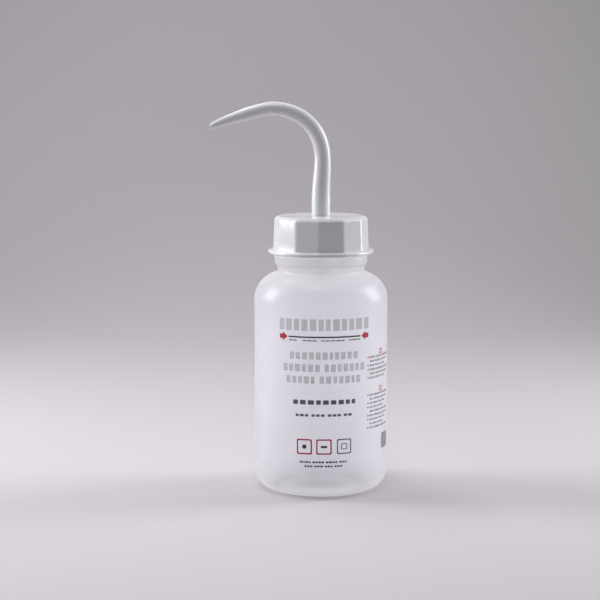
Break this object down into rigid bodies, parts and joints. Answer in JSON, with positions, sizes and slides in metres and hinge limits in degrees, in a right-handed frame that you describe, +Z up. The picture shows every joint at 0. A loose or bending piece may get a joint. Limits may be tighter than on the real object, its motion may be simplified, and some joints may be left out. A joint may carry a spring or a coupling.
{
  "type": "wash bottle",
  "caption": "Round squeeze bottle with a rounded shoulder, a twelve-sided screw cap and a bent delivery spout fed by a dip tube.",
  "frame": {"origin": "centre of the bottle's base, on the surface it stands on", "axes": "+Z up along the bottle's axis, the spout points along -X, and -Y is the printed side"},
  "size_m": [0.0996, 0.075, 0.2181],
  "materials": {
    "bottle_ldpe": "milky translucent, satin, printed",
    "cap_pp": "white, glossy, slightly translucent",
    "liner_pe": "white foamed, matt",
    "spout_pe": "pale grey-white, satin gloss",
    "insert_pe": "natural, satin",
    "gasket_soft": "soft, matt",
    "dip_tube_pe": "natural, translucent"
  },
  "bodies": {
    "bottle": {"bottle": "bottle_ldpe"},
    "closure": {"sealing_insert": "insert_pe", "rim_gasket": "gasket_soft"},
    "spout": {"spout": "spout_pe", "dip_tube": "dip_tube_pe"},
    "liner": {"cap_liner": "liner_pe"},
    "cap": {"screw_cap": "cap_pp"}
  },
  "joints": [
    {"name": "closure_lift", "type": "slide", "parent": "bottle", "child": "closure", "axis": [0, 0, 1], "range_m": [0, 0.16]},
    {"name": "spout_swivel", "type": "hinge", "parent": "closure", "child": "spout", "pos_m": [0, 0, 0.1513], "axis": [0, 0, 1], "continuous": true},
    {"name": "cap_rise", "type": "slide", "parent": "closure", "child": "liner", "axis": [0, 0, 1], "range_m": [0, 0.0068]},
    {"name": "cap_turn", "type": "hinge", "parent": "liner", "child": "cap", "pos_m": [0, 0, 0.1334], "axis": [0, 0, 1], "range_deg": [0, 480]}
  ],
  "couplings": [
    {"joint": "cap_rise", "follows": "cap_turn", "m_per_rad": 0.00079577}
  ]
}
